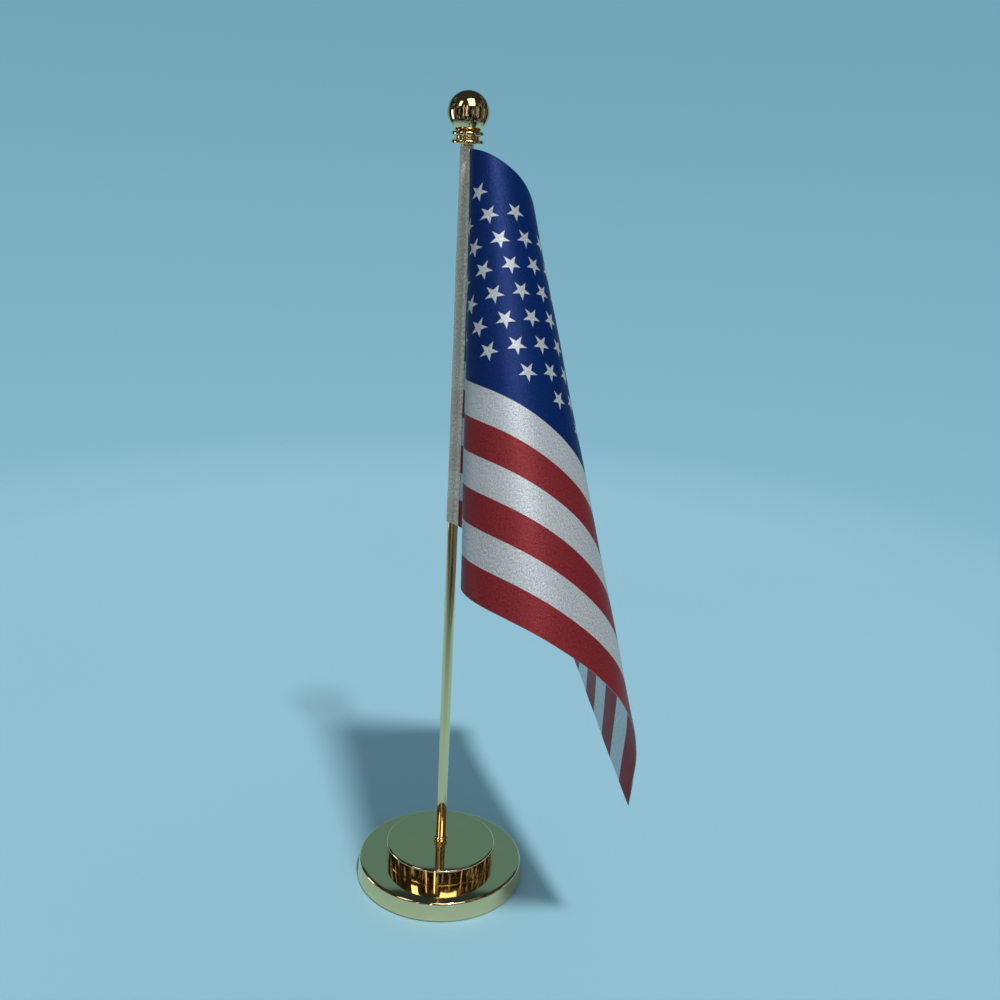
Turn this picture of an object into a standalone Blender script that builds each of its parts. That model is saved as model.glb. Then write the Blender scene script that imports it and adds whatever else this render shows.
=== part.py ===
"""Desk flag stand: weighted two-disc base, plain pole, ball finial and a small sleeved flag.

Frame: metres, +Z up along the pole, origin at the centre of the underside of the foot pad,
+X the side on which the flag leaves the pole, -Y the side to which its front fold reaches.
Run with: blender --background --python part.py
"""

import math

import bmesh
import bpy
import numpy as np
from mathutils import Vector

MM = 0.001

# Clearances between pieces that touch on the real object
GAP = 0.3 * MM
SNUG = 0.2 * MM

# Foot pad and lower disc
PAD_RADIUS = 33.3 * MM
PAD_THICKNESS = 1.2 * MM
DISC_SKIRT_Z = 0.4 * MM
DISC_FOOT_RADIUS = 35.3 * MM
DISC_RIM_RADIUS = 34.4 * MM
DISC_TOP_Z = 8.25 * MM
DISC_ROUND = 1.1 * MM
SHELL_WALL = 1.0 * MM

# Upper disc, which stands on the lower one
DRUM_RADIUS = 23.0 * MM
DRUM_HEIGHT = 7.06 * MM
DRUM_ROUND = 0.8 * MM
DRUM_BOTTOM_Z = DISC_TOP_Z + GAP
DRUM_TOP_Z = DISC_TOP_Z + DRUM_HEIGHT

# M3 thread shared by the base screw, the pole's tenons and the finial bush
THREAD_RADIUS = 1.5 * MM
THREAD_BORE = THREAD_RADIUS + GAP

# Fastening stack under the lower disc
WEIGHT_BOTTOM_Z = PAD_THICKNESS + GAP
WEIGHT_TOP_Z = DISC_TOP_Z - SHELL_WALL - GAP
COUNTERBORE_RADIUS = 4.5 * MM
COUNTERBORE_Z = 5.6 * MM
HEAD_BOTTOM_Z = 1.8 * MM
HEAD_TOP_Z = 3.5 * MM
HEAD_RADIUS = 2.9 * MM
SPRING_WASHER_TOP_Z = 4.4 * MM
SPRING_WASHER_RADIUS = 2.8 * MM
WASHER_TOP_Z = COUNTERBORE_Z - GAP
WASHER_RADIUS = 3.8 * MM
SCREW_END_Z = 11.6 * MM
NUT_ACROSS_FLATS = 8.0 * MM
NUT_STEPS = 24
NUT_TOP_Z = DRUM_TOP_Z - SHELL_WALL - GAP

# Pole
POLE_RADIUS = 2.1 * MM
POLE_FOOT_Z = DRUM_TOP_Z + GAP
POLE_SHOULDER_Z = 300.2 * MM
TENON_END_Z = SCREW_END_Z + GAP
TENON_TOP_Z = 306.4 * MM
COLLAR_RADIUS = 2.8 * MM
COLLAR_HEIGHT = 1.8 * MM

# Finial
BALL_RADIUS = 7.53 * MM
BALL_CENTRE_Z = 310.45 * MM
BALL_WALL = 0.8 * MM
BALL_SEAT_RADIUS = 4.4 * MM
FERRULE_BOTTOM_Z = 299.4 * MM
BEAD_RADIUS = 5.9 * MM
BEAD_HALF = 0.85 * MM
BEAD_HEIGHTS = (300.35 * MM, 303.2 * MM)
WAIST_RADIUS = 4.3 * MM
WAIST_HALF = 0.3 * MM
BUSH_RADIUS = 3.0 * MM
BUSH_FLANGE_RADIUS = 4.0 * MM

# Flag: satin, cut 140 mm high by 210 mm long, hanging in one conical fold
HOIST = 140.0 * MM
FLY = 210.0 * MM
CLOTH_THICKNESS = 0.4 * MM
CLOTH_ROWS = 16
STEPS_BEFORE_FOLD = 8
STEPS_AFTER_FOLD = 26
CROWDING = 1.5
HOIST_TOP_Z = 297.9 * MM
HOIST_X = 1.0 * MM
HOIST_Y = -3.0 * MM
SLEEVE_INNER = POLE_RADIUS + SNUG
SLEEVE_OUTER = SLEEVE_INNER + 0.3 * MM
SLEEVE_TOP_Z = FERRULE_BOTTOM_Z - GAP
SLEEVE_BOTTOM_Z = HOIST_TOP_Z - HOIST - 0.9 * MM
THREAD_THICKNESS = 0.3 * MM
THREAD_SIDES = 6
SEAM_INSET = 1.3 * MM
SEAM_END = 1.0 * MM
SEAM_SECTIONS = 24

# The fold is developable. Its rulings fan out from one point of the flat cloth, measured from
# the top of the hoist along the fly and down the hoist. Up to the first ruling the cloth is
# flat; beyond it the cloth bends at these rates, closer together near the first ruling.
FAN_FLY = -36.2 * MM
FAN_DOWN = -86.7 * MM
FIRST_RULING = 0.436
FAN_MARGIN = 0.02
HOIST_TURN = 0.0435
BEND_RATES = (-15.0, -15.0, -13.1, -6.2, -8.5, 1.0, -0.3, 0.7, 2.6)
RATE_CROWDING = 1.6
FAN_STEPS = 160

# Departures from the fan that grow down the hoist: the cloth bulges sideways between the
# sleeve and the first bend, and the bend itself is tucked in a little the other way.
HOIST_BULGE = 7.0 * MM
FOLD_TUCK = 0.46 * MM
TUCK_WIDTH = 0.25

RINGS = 48


def clear_scene():
    """Remove whatever the file holds."""
    for item in list(bpy.data.objects):
        bpy.data.objects.remove(item, do_unlink=True)


def material(name, colour, metallic, roughness):
    """Make a Principled material."""
    made = bpy.data.materials.new(name)
    made.use_nodes = True
    shader = made.node_tree.nodes["Principled BSDF"]
    shader.inputs["Base Color"].default_value = (*colour, 1.0)
    shader.inputs["Metallic"].default_value = metallic
    shader.inputs["Roughness"].default_value = roughness
    return made


def gold(name):
    """Polished gold plate."""
    return material(name, (0.83, 0.62, 0.27), 1.0, 0.08)


def steel(name):
    """Bright zinc-plated steel."""
    return material(name, (0.62, 0.62, 0.60), 1.0, 0.35)


def object_from(bm, name, made, smooth_angle=0.6):
    """Turn a bmesh into an object of the scene."""
    bmesh.ops.recalc_face_normals(bm, faces=bm.faces[:])
    mesh = bpy.data.meshes.new(name)
    bm.to_mesh(mesh)
    bm.free()
    mesh.shade_smooth()
    mesh.set_sharp_from_angle(angle=smooth_angle)
    item = bpy.data.objects.new(name, mesh)
    bpy.context.collection.objects.link(item)
    item.data.materials.append(made)
    return item


def arc(centre_r, centre_z, radius, start, stop, steps):
    """Points (r, z) on an arc, in degrees from +r towards +z."""
    points = []
    for step in range(steps + 1):
        angle = math.radians(start + (stop - start) * step / steps)
        points.append((centre_r + radius * math.cos(angle), centre_z + radius * math.sin(angle)))
    return points


def turned(name, outline, made, rings=RINGS):
    """Spin a closed (r, z) outline about the pole's axis."""
    bm = bmesh.new()
    verts = [bm.verts.new((r, 0.0, z)) for r, z in outline]
    edges = []
    for index, vert in enumerate(verts):
        after = verts[(index + 1) % len(verts)]
        if max(outline[index][0], outline[(index + 1) % len(verts)][0]) > 0.0:
            edges.append(bm.edges.new((vert, after)))
    bmesh.ops.spin(
        bm,
        geom=verts + edges,
        cent=(0, 0, 0),
        axis=(0, 0, 1),
        angle=2 * math.pi,
        steps=rings,
        use_merge=True,
    )
    bmesh.ops.remove_doubles(bm, verts=bm.verts[:], dist=0.00001 * MM)
    return object_from(bm, name, made)


# --- Base -------------------------------------------------------------------------------


def foot_pad():
    outline = [
        (0.0, 0.0),
        (PAD_RADIUS, 0.0),
        (PAD_RADIUS, PAD_THICKNESS),
        (0.0, PAD_THICKNESS),
    ]
    turned("base_foot_pad", outline, material("pad", (0.02, 0.02, 0.02), 0.0, 0.95))


def lower_disc():
    """Plated cover, open underneath, with a slightly flared side and a rounded rim."""
    rim_centre = DISC_RIM_RADIUS - DISC_ROUND
    inner = SHELL_WALL
    outline = [(DISC_FOOT_RADIUS, DISC_SKIRT_Z)]
    outline += arc(rim_centre, DISC_TOP_Z - DISC_ROUND, DISC_ROUND, 0, 90, 5)
    outline += [
        (THREAD_BORE, DISC_TOP_Z),
        (THREAD_BORE, DISC_TOP_Z - inner),
        (DISC_RIM_RADIUS - inner, DISC_TOP_Z - inner),
        (DISC_FOOT_RADIUS - inner, DISC_SKIRT_Z),
    ]
    turned("base_lower_disc", outline, gold("gold_lower"))


def base_weight():
    """Cast ring that fills the lower disc, counterbored for the screw and its washers."""
    outer = DISC_RIM_RADIUS - SHELL_WALL - GAP
    outline = [
        (COUNTERBORE_RADIUS, WEIGHT_BOTTOM_Z),
        (outer, WEIGHT_BOTTOM_Z),
        (outer, WEIGHT_TOP_Z),
        (THREAD_BORE, WEIGHT_TOP_Z),
        (THREAD_BORE, COUNTERBORE_Z),
        (COUNTERBORE_RADIUS, COUNTERBORE_Z),
    ]
    turned("base_weight", outline, material("cast_iron", (0.12, 0.12, 0.12), 1.0, 0.7))


def upper_disc():
    """Plated drum, open underneath, bored for the pole's tenon."""
    inner = SHELL_WALL
    outline = [(DRUM_RADIUS, DRUM_BOTTOM_Z)]
    outline += arc(DRUM_RADIUS - DRUM_ROUND, DRUM_TOP_Z - DRUM_ROUND, DRUM_ROUND, 0, 90, 4)
    outline += [
        (THREAD_BORE, DRUM_TOP_Z),
        (THREAD_BORE, DRUM_TOP_Z - inner),
        (DRUM_RADIUS - inner, DRUM_TOP_Z - inner),
        (DRUM_RADIUS - inner, DRUM_BOTTOM_Z),
    ]
    turned("base_upper_disc", outline, gold("gold_upper"))


def ring(name, inner, outer, low, high, made, rings=RINGS):
    """Plain ring with square edges."""
    outline = [(inner, low), (outer, low), (outer, high), (inner, high)]
    return turned(name, outline, made, rings)


def screw():
    """Pan-head screw from below, its head inside the counterbore."""
    dome = arc(HEAD_RADIUS - 1.0 * MM, HEAD_BOTTOM_Z + 1.0 * MM, 1.0 * MM, -90, 0, 3)
    outline = [(0.0, HEAD_BOTTOM_Z)] + dome
    outline += [
        (HEAD_RADIUS, HEAD_TOP_Z),
        (THREAD_RADIUS, HEAD_TOP_Z),
        (THREAD_RADIUS, SCREW_END_Z),
        (0.0, SCREW_END_Z),
    ]
    turned("base_screw", outline, steel("zinc_screw"), 24)


def washers():
    spring_low = HEAD_TOP_Z + SNUG
    ring(
        "base_spring_washer",
        THREAD_BORE,
        SPRING_WASHER_RADIUS,
        spring_low,
        SPRING_WASHER_TOP_Z,
        steel("zinc_spring"),
        24,
    )
    washer_low = SPRING_WASHER_TOP_Z + SNUG
    ring(
        "base_washer",
        THREAD_BORE,
        WASHER_RADIUS,
        washer_low,
        WASHER_TOP_Z,
        steel("zinc_washer"),
        32,
    )


def coupling_nut():
    """Hexagonal nut inside the drum, which takes the screw below and the pole above."""
    bm = bmesh.new()
    levels = []
    for level in (DRUM_BOTTOM_Z, NUT_TOP_Z):
        outer = []
        inner = []
        for turn in range(NUT_STEPS):
            angle = 2 * math.pi * turn / NUT_STEPS
            within = (angle % (math.pi / 3)) - math.pi / 6
            reach = NUT_ACROSS_FLATS / 2 / math.cos(within)
            outer.append(bm.verts.new((reach * math.cos(angle), reach * math.sin(angle), level)))
            bore = (THREAD_BORE * math.cos(angle), THREAD_BORE * math.sin(angle), level)
            inner.append(bm.verts.new(bore))
        levels.append((outer, inner))
    (low_out, low_in), (high_out, high_in) = levels
    for turn in range(NUT_STEPS):
        after = (turn + 1) % NUT_STEPS
        bm.faces.new((low_out[turn], low_out[after], high_out[after], high_out[turn]))
        bm.faces.new((low_in[after], low_in[turn], high_in[turn], high_in[after]))
        bm.faces.new((high_out[turn], high_out[after], high_in[after], high_in[turn]))
        bm.faces.new((low_out[after], low_out[turn], low_in[turn], low_in[after]))
    object_from(bm, "base_coupling_nut", steel("zinc_nut"), 0.4)


# --- Pole and finial --------------------------------------------------------------------


def pole():
    """Solid rod with a threaded tenon at each end."""
    outline = [
        (0.0, TENON_END_Z),
        (THREAD_RADIUS, TENON_END_Z),
        (THREAD_RADIUS, POLE_FOOT_Z),
        (POLE_RADIUS, POLE_FOOT_Z),
        (POLE_RADIUS, POLE_SHOULDER_Z),
        (THREAD_RADIUS, POLE_SHOULDER_Z),
        (THREAD_RADIUS, TENON_TOP_Z),
        (0.0, TENON_TOP_Z),
    ]
    turned("pole_rod", outline, gold("gold_pole"), 32)


def foot_collar():
    """Small ring with chamfered edges round the foot of the pole."""
    inner = POLE_RADIUS + SNUG
    edge = 0.25 * MM
    top = POLE_FOOT_Z + COLLAR_HEIGHT
    outline = [
        (inner, POLE_FOOT_Z),
        (COLLAR_RADIUS - edge, POLE_FOOT_Z),
        (COLLAR_RADIUS, POLE_FOOT_Z + edge),
        (COLLAR_RADIUS, top - edge),
        (COLLAR_RADIUS - edge, top),
        (inner, top),
    ]
    turned("pole_foot_collar", outline, gold("gold_collar"), 32)


def ferrule():
    """Neck of the finial with two beads."""
    bore = BUSH_RADIUS + GAP
    seat_z = ball_seat_z() - GAP
    lower, upper = BEAD_HEIGHTS
    middle = (lower + upper) / 2
    outline = [(POLE_RADIUS + GAP, FERRULE_BOTTOM_Z), (WAIST_RADIUS, FERRULE_BOTTOM_Z)]
    outline += arc(BEAD_RADIUS - BEAD_HALF, lower, BEAD_HALF, -75, 75, 5)
    outline += [(WAIST_RADIUS, middle - WAIST_HALF), (WAIST_RADIUS, middle + WAIST_HALF)]
    outline += arc(BEAD_RADIUS - BEAD_HALF, upper, BEAD_HALF, -75, 75, 5)
    outline += [
        (BALL_SEAT_RADIUS, seat_z),
        (bore, seat_z),
        (bore, POLE_SHOULDER_Z + GAP),
        (POLE_RADIUS + GAP, POLE_SHOULDER_Z + GAP),
    ]
    turned("finial_ferrule", outline, gold("gold_ferrule"), 32)


def ball_seat_z():
    """Height at which the ball is cut flat to sit on the ferrule."""
    return BALL_CENTRE_Z - math.sqrt(BALL_RADIUS**2 - BALL_SEAT_RADIUS**2)


def ball():
    """Hollow ball, open where the bush passes through its seat."""
    inside = BALL_RADIUS - BALL_WALL
    seat = math.degrees(math.asin((ball_seat_z() - BALL_CENTRE_Z) / BALL_RADIUS))
    floor_z = ball_seat_z() + BALL_WALL
    floor = math.degrees(math.asin((floor_z - BALL_CENTRE_Z) / inside))
    bore = BUSH_RADIUS + GAP
    outline = [(bore, ball_seat_z())]
    outline += arc(0.0, BALL_CENTRE_Z, BALL_RADIUS, seat, 90, 14)[:-1]
    outline += [(0.0, BALL_CENTRE_Z + BALL_RADIUS), (0.0, BALL_CENTRE_Z + inside)]
    outline += arc(0.0, BALL_CENTRE_Z, inside, 90, floor, 8)[1:]
    outline.append((bore, floor_z))
    turned("finial_ball", outline, gold("gold_ball"), 32)


def bush():
    """Threaded bush that holds the ball on the ferrule and screws onto the pole."""
    low = POLE_SHOULDER_Z + 2 * GAP
    flange_low = ball_seat_z() + BALL_WALL + GAP
    flange_high = flange_low + 0.8 * MM
    outline = [
        (THREAD_BORE, low),
        (BUSH_RADIUS, low),
        (BUSH_RADIUS, flange_low),
        (BUSH_FLANGE_RADIUS, flange_low),
        (BUSH_FLANGE_RADIUS, flange_high),
        (THREAD_BORE, flange_high),
    ]
    turned("finial_bush", outline, steel("zinc_bush"), 32)


# --- Flag -------------------------------------------------------------------------------


def fan_directions():
    """Angles of the fan and the space direction of the ruling at each angle."""
    last = math.atan2(FLY - FAN_FLY, -FAN_DOWN) + FAN_MARGIN
    angles = np.linspace(FIRST_RULING, last, FAN_STEPS)
    shares = np.linspace(0.0, 1.0, len(BEND_RATES)) ** RATE_CROWDING
    rates = np.interp(angles, FIRST_RULING + (last - FIRST_RULING) * shares, BEND_RATES)
    along = np.array([math.sin(HOIST_TURN), -math.cos(HOIST_TURN), 0.0])
    down = np.array([0.0, 0.0, -1.0])
    ruling = math.sin(FIRST_RULING) * along + math.cos(FIRST_RULING) * down
    across = math.cos(FIRST_RULING) * along - math.sin(FIRST_RULING) * down
    normal = np.cross(ruling, across)
    step = angles[1] - angles[0]
    directions = [ruling]
    for index in range(FAN_STEPS - 1):
        rate = 0.5 * (rates[index] + rates[index + 1])
        turn_axis = (rate * ruling + normal) / math.hypot(rate, 1.0)
        turn = math.hypot(rate, 1.0) * step
        ruling = rotated(ruling, turn_axis, turn)
        across = rotated(across, turn_axis, turn)
        normal = rotated(normal, turn_axis, turn)
        directions.append(ruling)
    return angles, np.array(directions), along, down


def rotated(vector, axis, angle):
    """Rotate a vector about a unit axis."""
    sine = math.sin(angle)
    cosine = math.cos(angle)
    side = np.cross(axis, vector)
    return vector * cosine + side * sine + axis * np.dot(axis, vector) * (1.0 - cosine)


def fold_line(down):
    """How far along the fly the first bend lies, at a depth below the hoist's top."""
    return FAN_FLY + math.tan(FIRST_RULING) * (down - FAN_DOWN)


def cloth_point(fly, down, fan):
    """Place in space of a point of the flat cloth."""
    angles, directions, along, downward = fan
    top = np.array([HOIST_X, HOIST_Y, HOIST_TOP_Z])
    centre = top + FAN_FLY * along + FAN_DOWN * downward
    reach = math.hypot(fly - FAN_FLY, down - FAN_DOWN)
    angle = math.atan2(fly - FAN_FLY, down - FAN_DOWN)
    if angle <= angles[0]:
        direction = math.sin(angle) * along + math.cos(angle) * downward
    else:
        direction = np.array([np.interp(angle, angles, directions[:, k]) for k in range(3)])
    point = centre + reach * direction
    return Vector((point[0] + sideways(fly, down), point[1], point[2]))


def sideways(fly, down):
    """Bulge before the first bend, at most HOIST_BULGE, less the tuck at the bend."""
    share = fly / fold_line(down)
    before = min(share, 1.0)
    bulge = HOIST_BULGE * 6.75 * before * (1.0 - before) ** 2
    tuck = FOLD_TUCK * math.exp(-(((share - 1.0) / TUCK_WIDTH) ** 2))
    return (down / HOIST) * (bulge - tuck)


def fly_stations(down):
    """Distances along the fly, closer together round the first bend."""
    bend = fold_line(down)
    before = [bend * step / STEPS_BEFORE_FOLD for step in range(STEPS_BEFORE_FOLD)]
    shares = [step / STEPS_AFTER_FOLD for step in range(STEPS_AFTER_FOLD + 1)]
    return before + [bend + (FLY - bend) * share**CROWDING for share in shares]


def cloth():
    fan = fan_directions()
    bm = bmesh.new()
    rows = []
    for row in range(CLOTH_ROWS + 1):
        down = HOIST * row / CLOTH_ROWS
        rows.append([bm.verts.new(cloth_point(fly, down, fan)) for fly in fly_stations(down)])
    for upper, lower in zip(rows, rows[1:]):
        for index in range(len(upper) - 1):
            bm.faces.new((upper[index], lower[index], lower[index + 1], upper[index + 1]))
    item = object_from(bm, "flag_cloth", material("satin", (0.55, 0.05, 0.07), 0.0, 0.5), 3.0)
    thicken = item.modifiers.new("thickness", "SOLIDIFY")
    thicken.thickness = CLOTH_THICKNESS
    thicken.offset = 0.0


def sleeve():
    """Sewn tube of cloth in which the pole stands."""
    satin = material("sleeve_satin", (0.85, 0.83, 0.78), 0.0, 0.6)
    ring("flag_sleeve", SLEEVE_INNER, SLEEVE_OUTER, SLEEVE_BOTTOM_Z, SLEEVE_TOP_Z, satin, 28)


def seam_thread(name, side):
    """One of the two threads of the lock stitch that joins the cloth to its sleeve."""
    fan = fan_directions()
    bm = bmesh.new()
    side_step = side * (CLOTH_THICKNESS / 2 + SNUG + THREAD_THICKNESS / 2)
    half = THREAD_THICKNESS / 2
    sections = []
    for step in range(SEAM_SECTIONS + 1):
        down = SEAM_END + (HOIST - 2 * SEAM_END) * step / SEAM_SECTIONS
        place = cloth_point(SEAM_INSET, down, fan)
        beyond = cloth_point(SEAM_INSET * 1.5, down, fan)
        outward = (beyond - place).normalized().cross(Vector((0, 0, 1)))
        centre = place + outward * side_step
        section = []
        for corner in range(THREAD_SIDES):
            angle = 2 * math.pi * corner / THREAD_SIDES
            offset = Vector((math.cos(angle), math.sin(angle), 0.0)) * half
            section.append(bm.verts.new(centre + offset))
        sections.append(section)
    for lower, upper in zip(sections, sections[1:]):
        for corner in range(THREAD_SIDES):
            after = (corner + 1) % THREAD_SIDES
            bm.faces.new((lower[corner], upper[corner], upper[after], lower[after]))
    bm.faces.new(sections[0])
    bm.faces.new(sections[-1])
    object_from(bm, name, material(name, (0.9, 0.88, 0.84), 0.0, 0.7), 3.0)


def main():
    clear_scene()
    foot_pad()
    lower_disc()
    base_weight()
    upper_disc()
    screw()
    washers()
    coupling_nut()
    pole()
    foot_collar()
    ferrule()
    ball()
    bush()
    cloth()
    sleeve()
    seam_thread("seam_needle_thread", -1)
    seam_thread("seam_bobbin_thread", 1)


main()
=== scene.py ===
"""Looks of the desk flag stand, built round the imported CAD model, which is the frame.

Everything is in metres in the CAD's own frame: +Z up along the pole, the flag leaves the pole
towards +X and folds forward towards -Y. Lengths below are written in millimetres times MM.
"""

import math

import bmesh
import bpy
import numpy as np
from mathutils import Matrix, Vector


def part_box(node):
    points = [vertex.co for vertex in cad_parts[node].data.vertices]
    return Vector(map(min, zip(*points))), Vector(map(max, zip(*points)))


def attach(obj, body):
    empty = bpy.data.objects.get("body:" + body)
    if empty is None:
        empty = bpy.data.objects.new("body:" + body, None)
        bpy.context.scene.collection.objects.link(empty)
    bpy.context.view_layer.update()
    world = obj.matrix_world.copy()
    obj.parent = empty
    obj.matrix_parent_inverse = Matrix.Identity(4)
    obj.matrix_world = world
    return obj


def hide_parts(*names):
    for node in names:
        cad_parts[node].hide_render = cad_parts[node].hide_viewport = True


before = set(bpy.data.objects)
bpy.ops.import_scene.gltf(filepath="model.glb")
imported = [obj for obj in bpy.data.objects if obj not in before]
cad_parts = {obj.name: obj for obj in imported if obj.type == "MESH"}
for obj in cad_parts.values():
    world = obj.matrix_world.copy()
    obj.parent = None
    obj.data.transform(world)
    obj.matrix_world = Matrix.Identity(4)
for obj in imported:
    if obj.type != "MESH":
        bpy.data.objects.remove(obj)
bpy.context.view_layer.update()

MM = 0.001

# --- Sizes taken from the frame ---------------------------------------------------------

DISC_LOW, DISC_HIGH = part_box("base_lower_disc")
DRUM_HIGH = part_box("base_upper_disc")[1]
PAD_LOW, PAD_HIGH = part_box("base_foot_pad")
POLE_LOW, POLE_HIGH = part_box("pole_rod")
COLLAR_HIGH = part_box("pole_foot_collar")[1]
FERRULE_LOW, FERRULE_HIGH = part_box("finial_ferrule")
BALL_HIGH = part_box("finial_ball")[1]
CLOTH_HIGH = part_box("flag_cloth")[1]
SLEEVE_LOW, SLEEVE_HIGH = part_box("flag_sleeve")

POLE_RADIUS = POLE_HIGH.x
DISC_TOP = DISC_HIGH.z
DRUM_TOP = DRUM_HIGH.z
BALL_RADIUS = BALL_HIGH.x
BALL_CENTRE = BALL_HIGH.z - BALL_RADIUS
HAIRLINE = 0.03 * MM
SHELL_WALL = 1.0 * MM
THREAD_RADIUS = 1.5 * MM
THREAD_BORE = 1.8 * MM
THREAD_PITCH = 0.5 * MM
THREAD_DEPTH = 0.3 * MM
POLE_SHOULDER = POLE_HIGH.z - 6.2 * MM

# How far the lower disc's side leans in, and the rounding of the two discs' upper edges
DISC_LEAN = 0.9 * MM
DISC_FILLET = 1.1 * MM
DRUM_FILLET = 0.75 * MM

# Finial: the opening in its ball and neck, the seat of the ball and the two full beads
FINIAL_BORE = 3.3 * MM
FINIAL_WALL = 0.8 * MM
SEAT_RADIUS = 4.3 * MM
BEAD_HALF = 0.80 * MM
WAIST_RADIUS = 4.25 * MM
WAIST_HALF = 0.9 * MM
LOWER_BEAD = 0.95 * MM
UPPER_BEAD = 3.80 * MM

# --- The cloth, as in the CAD -----------------------------------------------------------

HOIST = 140.0 * MM
FLY = 210.0 * MM
CLOTH_THICKNESS = 0.24 * MM
HOIST_X = 1.0 * MM
HOIST_Y = -3.0 * MM
HOIST_TOP = CLOTH_HIGH.z
FAN_FLY = -36.2 * MM
FAN_DOWN = -86.7 * MM
FIRST_RULING = 0.436
FAN_MARGIN = 0.02
HOIST_TURN = 0.0435
# How fast the cloth bends from the first ruling of the fan to the last. These nine numbers
# came from a fitting program.
BEND_RATES = (-15.0, -15.0, -13.1, -6.2, -8.5, 1.0, -0.3, 0.7, 2.6)
RATE_CROWDING = 1.6
FAN_STEPS = 400
HOIST_BULGE = 7.0 * MM
FOLD_TUCK = 0.46 * MM
TUCK_WIDTH = 0.25
ROWS = 132
COLUMNS_BEFORE_FOLD = 44
COLUMNS_AFTER_FOLD = 150

# Print: stars and stripes; the stars stand at every other place of a lattice
STRIPE = HOIST / 13
CANTON_DOWN = 7 * STRIPE
CANTON_FLY = 122.0 * MM
STAR_PITCH_FLY = 7.54 * MM
STAR_PITCH_DOWN = 6.20 * MM
FIRST_STAR_FLY = 18.17 * MM
FIRST_STAR_DOWN = 14.09 * MM
STAR_RADIUS = 3.6 * MM
PRINT_BLUR = 0.12 * MM
WHITE_CLOTH = (0.52, 0.565, 0.60, 1.0)
RED_INK = (0.245, 0.025, 0.032, 1.0)
BLUE_INK = (0.0012, 0.023, 0.140, 1.0)

# Satin: how much of its reflection is the dyed gleam of the threads
SATIN_LUSTRE = 0.18
SATIN_SPECULAR = 0.10
GRAIN_SCALE = 2600.0
WARP_PITCH = 0.21 * MM
WEFT_PITCH = 0.26 * MM
# Painted light: the inner side's colour is made brighter than its shade, to stand in for light
# that comes through the cloth
INNER_PAINTED_LIGHT = 1.45

# Sleeve and seam
SLEEVE_THICKNESS = 0.22 * MM
SLEEVE_RADIUS = POLE_RADIUS + 0.28 * MM
SEAM_INSET = 1.3 * MM
STITCH_PITCH = 2.4 * MM
STITCH_LENGTH = 1.9 * MM
STITCH_RADIUS = 0.13 * MM
SLEEVE_SLANT = 0.75 * MM
FLANGE_REACH = 1.9 * MM
FLANGE_SPREAD = math.radians(24)
SLEEVE_CLOTH = (0.93, 0.84, 0.72, 1.0)
SLEEVE_OVER_RED = (0.72, 0.50, 0.42, 1.0)
SLEEVE_OVER_BLUE = (0.74, 0.67, 0.54, 1.0)

# Gold plate, between a darker and a lighter tint
GOLD_DARK = (0.88, 0.66, 0.33, 1.0)
GOLD_LIGHT = (0.93, 0.73, 0.41, 1.0)

# Stage
FLOOR_RADIUS = 0.60
FLOOR_FADE = 0.12
FLOOR_CENTRE = 0.28
FLOOR_DARK = (0.35, 0.65, 0.80, 1.0)
FLOOR_LIGHT = (0.39, 0.69, 0.84, 1.0)
BACKDROP_LOW = (0.27, 0.53, 0.66, 1.0)
BACKDROP_HIGH = (0.17, 0.38, 0.48, 1.0)
LIGHT_TARGET = (0.02, -0.01, 0.15)
KEY_DIRECTION = (0.199, -0.446, 0.873)
KEY_STRENGTH = 1.9
KEY_ANGLE = math.radians(5.5)
KEY_LIGHT = (1.0, 0.98, 0.95)
PALE_LIGHT = (1.0, 0.98, 0.90)
ROSY_LIGHT = (1.0, 0.78, 0.66)
CARD_LIGHT = (0.36, 0.85, 1.0)

# World: colours by height (0 straight down, 1 straight up) or, for CURTAIN, by its streaks
BLACK = (0.0, 0.0, 0.0, 1.0)
WHITE = (1.0, 1.0, 1.0, 1.0)
BEHIND = (
    (0.30, (0.20, 0.40, 0.50, 1.0)),
    (0.50, (0.07, 0.16, 0.20, 1.0)),
    (0.72, (0.02, 0.035, 0.04, 1.0)),
)
CURTAIN = (
    (0.46, (0.004, 0.005, 0.006, 1.0)),
    (0.54, (0.045, 0.045, 0.050, 1.0)),
    (0.62, (0.34, 0.36, 0.38, 1.0)),
)
OVERHEAD = ((0.80, (0.02, 0.02, 0.02, 1.0)), (1.0, (0.03, 0.035, 0.035, 1.0)))
FILL_LOW = (0.20, 0.24, 0.26, 1.0)
FILL_HIGH = (0.24, 0.29, 0.31, 1.0)

# Camera
CAMERA_PLACE = (0.0, -0.409, 0.28506)
CAMERA_YAW = math.radians(2.54)
CAMERA_PITCH = math.radians(15.98)
CAMERA_ROLL = math.radians(2.90)
CAMERA_LENS = 39.1


# --- Mesh helpers -----------------------------------------------------------------------


def new_object(name, mesh, made, smooth_angle=0.7):
    """Link a mesh into the scene with its material, shaded smooth."""
    mesh.shade_smooth()
    mesh.set_sharp_from_angle(angle=smooth_angle)
    item = bpy.data.objects.new(name, mesh)
    bpy.context.scene.collection.objects.link(item)
    item.data.materials.append(made)
    return item


def from_bmesh(bm, name, made, smooth_angle=0.7):
    """Turn a bmesh into an object with its faces pointing outwards."""
    bmesh.ops.recalc_face_normals(bm, faces=bm.faces[:])
    mesh = bpy.data.meshes.new(name)
    bm.to_mesh(mesh)
    bm.free()
    return new_object(name, mesh, made, smooth_angle)


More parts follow.
